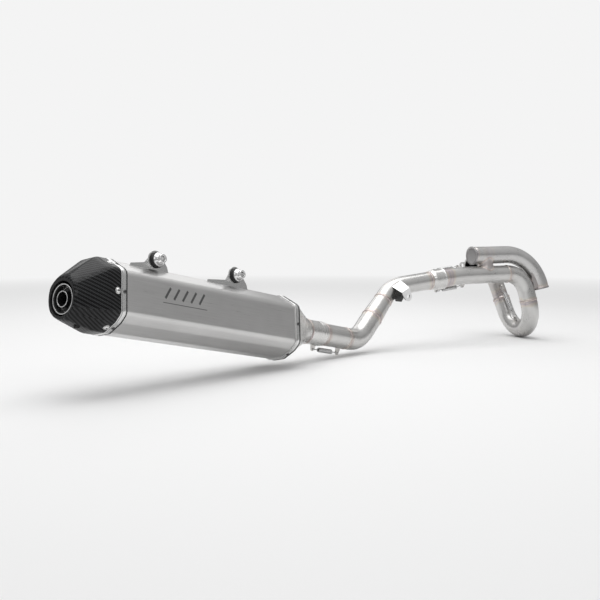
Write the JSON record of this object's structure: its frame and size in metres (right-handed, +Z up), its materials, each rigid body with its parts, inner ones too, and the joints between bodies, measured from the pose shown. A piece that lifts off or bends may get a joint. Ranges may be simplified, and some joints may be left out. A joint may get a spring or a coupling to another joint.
{
  "type": "exhaust system",
  "caption": "Off-road motorcycle exhaust: looped header with resonance chamber, sprung slip joints, link pipe and a six-sided brushed silencer with a carbon end cap.",
  "frame": {"origin": "centre of the port mouth, where the engine's exhaust port enters the pipe", "axes": "+X forward along the port axis and away from the engine port, +Y to the machine's left, +Z up; the silencer trails toward -X on the right-hand side"},
  "size_m": [1.2671, 0.2326, 0.2181],
  "materials": {
    "sleeve": "brushed titanium, satin",
    "band": "satin",
    "end_cap": "woven carbon laminate under satin lacquer",
    "inner_steel": "dull",
    "packing": "loose glass fibre",
    "fastener": "bright",
    "polished": "polished",
    "dark_steel": "black",
    "rubber": "matte",
    "spring": "bright wire",
    "hook": "satin",
    "pipe": "satin with heat tints by the welds",
    "turned": "turned, satin",
    "weld": "rippled weld, straw and rose tint"
  },
  "bodies": {
    "port_section": {"port_bend": "pipe", "port_leg": "pipe", "port_collar": "turned", "port_hook": "hook", "port_spring": "spring"},
    "header": {"header_spigot": "turned", "header_lead_bend": "pipe", "header_run": "pipe", "header_front_bend": "pipe", "header_lower_bend": "pipe", "header_return_bend": "pipe", "chamber_tube": "pipe", "chamber_rear_disc": "turned", "chamber_front_disc": "turned", "chamber_neck": "turned", "chamber_strut": "turned", "header_rear_hooks": "hook", "header_front_hook": "hook", "header_welds": "weld"},
    "link_pipe": {"link_tail": "pipe", "link_lower_elbow": "pipe", "link_riser": "pipe", "link_upper_elbow": "pipe", "link_run": "pipe", "link_socket": "turned", "link_bracket": "polished", "link_rear_hooks": "hook", "link_front_hooks": "hook", "link_welds": "weld", "link_springs": "spring"},
    "seal": {"slip_seal": "rubber"},
    "baffle": {"baffle_insert": "polished"},
    "baffle_screw": {"baffle_screw": "dark_steel"},
    "silencer": {"sleeve": "sleeve", "core_tube": "inner_steel", "packing": "packing", "front_core_plate": "inner_steel", "rear_plate": "inner_steel", "inlet_cone": "sleeve", "inlet_collar": "band", "rear_band": "band", "front_band": "band", "rear_band_rivets": "fastener", "front_band_rivets": "fastener", "end_cap": "end_cap", "end_cap_screws": "fastener", "outlet_tube": "inner_steel", "screw_boss": "dark_steel", "front_tab": "band", "rear_tab": "band", "front_grommet": "rubber", "rear_grommet": "rubber", "front_bush": "polished", "rear_bush": "polished", "collar_hooks": "hook", "silencer_springs": "spring"}
  },
  "joints": [
    {"name": "port_slip_turn", "type": "hinge", "parent": "port_section", "child": "header", "pos_m": [0.08295, -0.03208, -0.07546], "axis": [-0.0128, -0.3912, -0.9202], "range_deg": [-6, 6], "deforming": ["port_spring"]},
    {"name": "link_slip_turn", "type": "hinge", "parent": "header", "child": "link_pipe", "pos_m": [-0.185, -0.0375, -0.02], "axis": [0.9171, -0.3815, 0.1156], "range_deg": [-8, 8], "deforming": ["link_springs"]},
    {"name": "silencer_pull", "type": "slide", "parent": "link_pipe", "child": "seal", "axis": [-0.9816, 0, 0.1908], "range_m": [0, 0.02], "stiffness_N_per_m": 3000, "springref_m": -0.02, "deforming": ["silencer_springs"]},
    {"name": "silencer_turn", "type": "hinge", "parent": "seal", "child": "silencer", "pos_m": [-0.588, 0.012, -0.105], "axis": [0.9816, 0, -0.1908], "range_deg": [-8, 8], "deforming": ["silencer_springs"]},
    {"name": "baffle_pull", "type": "slide", "parent": "silencer", "child": "baffle", "axis": [-0.9874, -0.0065, 0.1578], "range_m": [0, 0.06]},
    {"name": "baffle_screw_pull", "type": "slide", "parent": "silencer", "child": "baffle_screw", "axis": [-0.1537, -0.1907, -0.9695], "range_m": [0, 0.02]}
  ]
}
